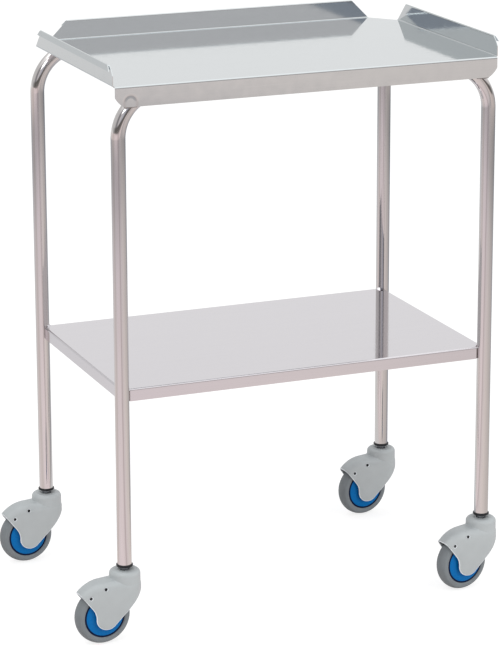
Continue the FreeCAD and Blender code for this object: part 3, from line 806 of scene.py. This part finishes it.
# %% Floor
floor_size = 60.0
floor_glow, floor_matt = 0.75, 0.4               # of the floor that the camera sees
pale_floor = "E6E0DD"                            # to the light that bounces off it
mirrored_strength = 1.12
white_from, white_to = 3.0, 16.0                 # metres behind the table
dim_from, dim_to = -6.0, -9.0                    # and in front of it
far_white, dim_room = linear("FFFFFF", 1.03), linear("827E7C")
ring_end = floor_rings[-1][0]


def floor_material():
    """White to the camera with the table's shadow, pale to the light, banded in reflections."""
    material, tree, place = new_material("studio_floor")
    path = add(tree, "ShaderNodeLightPath").node.outputs
    reach = add(tree, "ShaderNodeVectorMath", {0: place}, "Value", operation="LENGTH")
    share = add(tree, "ShaderNodeMapRange", {"Value": reach, "From Min": 0.0, "From Max": ring_end})
    rings = add(tree, "ShaderNodeValToRGB", {"Fac": share})
    fill_ramp(rings.node.color_ramp, [(metres / ring_end, code) for metres, code in floor_rings])
    bands = by_direction(tree, place, floor_bands)
    toned = add(tree, "ShaderNodeMix", {0: 1.0, mix_a: bands, mix_b: rings}, mixed,
                data_type="RGBA", blend_type="MULTIPLY")
    depth = add(tree, "ShaderNodeSeparateXYZ", {"Vector": place}, "Y")
    behind = add(tree, "ShaderNodeMapRange", {"Value": depth, "From Min": white_from, "From Max": white_to})
    far = add(tree, "ShaderNodeMix", {0: behind, mix_a: toned, mix_b: far_white}, mixed, data_type="RGBA")
    before = add(tree, "ShaderNodeMapRange", {"Value": depth, "From Min": dim_from, "From Max": dim_to})
    room = add(tree, "ShaderNodeMix", {0: before, mix_a: far, mix_b: dim_room}, mixed, data_type="RGBA")
    matt = add(tree, "ShaderNodeBsdfDiffuse", {"Color": linear(pale_floor)})
    mirrored = add(tree, "ShaderNodeEmission", {"Color": room, "Strength": mirrored_strength})
    white = add(tree, "ShaderNodeBsdfDiffuse", {"Color": linear("FFFFFF", floor_matt)})
    glow = add(tree, "ShaderNodeEmission", {"Color": linear("FFFFFF"), "Strength": floor_glow})
    seen = add(tree, "ShaderNodeAddShader", {0: white, 1: glow})
    metal = add(tree, "ShaderNodeMixShader", {0: path["Is Glossy Ray"], 1: matt, 2: mirrored})
    both = add(tree, "ShaderNodeMixShader", {0: path["Is Camera Ray"], 1: metal, 2: seen})
    add(tree, "ShaderNodeOutputMaterial", {"Surface": both})
    return material


floor_mesh = bpy.data.meshes.new("floor")
bm = bmesh.new()
bmesh.ops.create_grid(bm, x_segments=1, y_segments=1, size=floor_size / 2)
bm.to_mesh(floor_mesh)
bm.free()
floor = bpy.data.objects.new("floor", floor_mesh)
bpy.context.scene.collection.objects.link(floor)
floor.data.materials.append(floor_material())
print("floor", floor_size, "m square")

# %% [markdown]
# ## World
# The background is white to the camera. Everything that isn't polished gets plain soft light from
# it. Reflections see a white backdrop behind the table, a little dimmer on its left, the dark
# stands low in front, and the bright ceiling above.

# %% World
soft_strength = 0.74
backdrop_left, backdrop_right = 0.76, 0.95       # how light the mirrored backdrop is
backdrop_turn = -0.3, 0.2                        # from left to right, along X
backdrop_rise = -0.3, 0.5                        # from front to back, along Y
stand_foot, stand_top = 0.1, 0.14                # the floor's far edge gives way to the stands, up Z
ceiling_foot, ceiling_top = 0.5, 0.8             # and they to the ceiling
stand_base = "74706E"                            # how dark it is where floor and stands meet
wall_dimming = 0.1
ceiling_gain = 1.35


def studio_world():
    """White to the camera, a studio to reflections, and plain soft light to the rest."""
    world = bpy.data.worlds.new("studio")
    world.use_nodes = True
    tree = world.node_tree
    tree.nodes.clear()
    path = add(tree, "ShaderNodeLightPath").node.outputs
    way = add(tree, "ShaderNodeTexCoord", output="Generated")
    split = add(tree, "ShaderNodeSeparateXYZ", {"Vector": way}).node.outputs
    shares = {}
    for name, axis, start, end in (("right", "X", *backdrop_turn), ("back", "Y", *backdrop_rise),
                                   ("stands", "Z", stand_foot, stand_top),
                                   ("ceiling", "Z", ceiling_foot, ceiling_top)):
        shares[name] = add(tree, "ShaderNodeMapRange", {"Value": split[axis], "From Min": start,
                                                        "From Max": end})
    behind = add(tree, "ShaderNodeMix", {0: shares["right"], mix_a: linear("FFFFFF", backdrop_left),
                                         mix_b: linear("FFFFFF", backdrop_right)}, mixed, data_type="RGBA")
    walls = add(tree, "ShaderNodeMix", {0: wall_dimming, mix_a: by_direction(tree, way, wall_bands),
                                        mix_b: linear("000000")}, mixed, data_type="RGBA")
    front = add(tree, "ShaderNodeMix", {0: shares["stands"], mix_a: linear(stand_base), mix_b: walls},
                mixed, data_type="RGBA")
    level = add(tree, "ShaderNodeMix", {0: shares["back"], mix_a: front, mix_b: behind}, mixed,
                data_type="RGBA")
    room = add(tree, "ShaderNodeMix", {0: shares["ceiling"], mix_a: level,
                                       mix_b: linear("FFFFFF", ceiling_gain)}, mixed, data_type="RGBA")
    soft = add(tree, "ShaderNodeBackground", {"Color": linear("FFFFFF"), "Strength": soft_strength})
    mirrored = add(tree, "ShaderNodeBackground", {"Color": room, "Strength": 1.0})
    white = add(tree, "ShaderNodeBackground", {"Color": linear("FFFFFF"), "Strength": 1.0})
    seen = add(tree, "ShaderNodeMixShader", {0: path["Is Glossy Ray"], 1: soft, 2: mirrored})
    both = add(tree, "ShaderNodeMixShader", {0: path["Is Camera Ray"], 1: seen, 2: white})
    add(tree, "ShaderNodeOutputWorld", {"Surface": both})
    return world


bpy.context.scene.world = studio_world()
bpy.context.scene.view_settings.view_transform = "Standard"
print("world:", bpy.context.scene.world.name)

# %% [markdown]
# ## Lamps
# Two softboxes shape the castors and the edges: one overhead, and one high in front on the left.
# A wide fill from the front right keeps the shaded sides open. It is hidden from reflections, so
# that it doesn't show as a square in the steel.

# %% Lamps


def soft_lamp(name, place, target, width, height, power, mirrored=True):
    """A softbox that points at a target."""
    data = bpy.data.lights.new(name, "AREA")
    data.shape = "RECTANGLE"
    data.size = width
    data.size_y = height
    data.energy = power
    lamp = bpy.data.objects.new(name, data)
    aim = (Vector(target) - Vector(place)).to_track_quat("-Z", "Y").to_matrix().to_4x4()
    lamp.matrix_world = Matrix.Translation(place) @ aim
    lamp.visible_glossy = mirrored
    bpy.context.scene.collection.objects.link(lamp)
    return lamp


lamps = [
    soft_lamp("softbox_overhead", place=(-0.9, 0.6, 2.9), target=(0, 0, 0.5),
              width=1.8, height=1.2, power=8),
    soft_lamp("softbox_front_left", place=(-2.1, -2.0, 3.0), target=(0, 0, 0.4),
              width=1.3, height=1.7, power=24),
    soft_lamp("fill_front_right", place=(2.4, -3.0, 1.4), target=(0, 0, 0.3),
              width=1.8, height=1.8, power=40, mirrored=False),
]
print("lamps:", [lamp.name for lamp in lamps])
